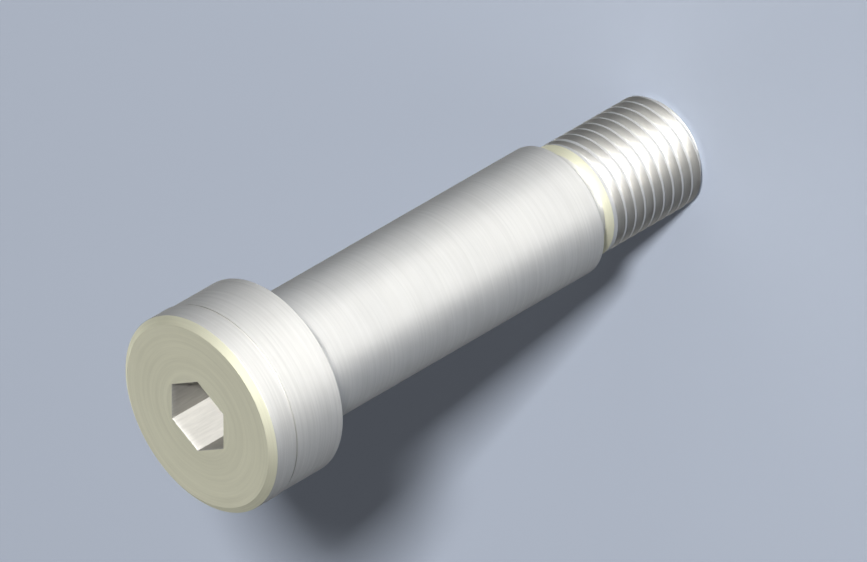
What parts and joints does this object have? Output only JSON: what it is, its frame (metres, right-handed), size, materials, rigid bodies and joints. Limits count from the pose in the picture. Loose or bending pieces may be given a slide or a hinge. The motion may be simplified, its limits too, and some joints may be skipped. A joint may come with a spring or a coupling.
{
  "type": "shoulder bolt",
  "caption": "Socket head shoulder bolt: a cylindrical head with a hexagon socket, a long ground shoulder that a part can turn on, and a shorter, thinner threaded end.",
  "frame": {"origin": "centre of the threaded end's face, where the bolt stands", "axes": "+Z along the bolt's axis, towards the head; two flats of the socket face along X and two of its corners point along Y"},
  "size_m": [0.024, 0.024, 0.0734],
  "materials": {
    "steel": "turned and ground, bare, satin"
  },
  "bodies": {
    "root": {"shoulder_bolt": "steel"}
  },
  "joints": []
}
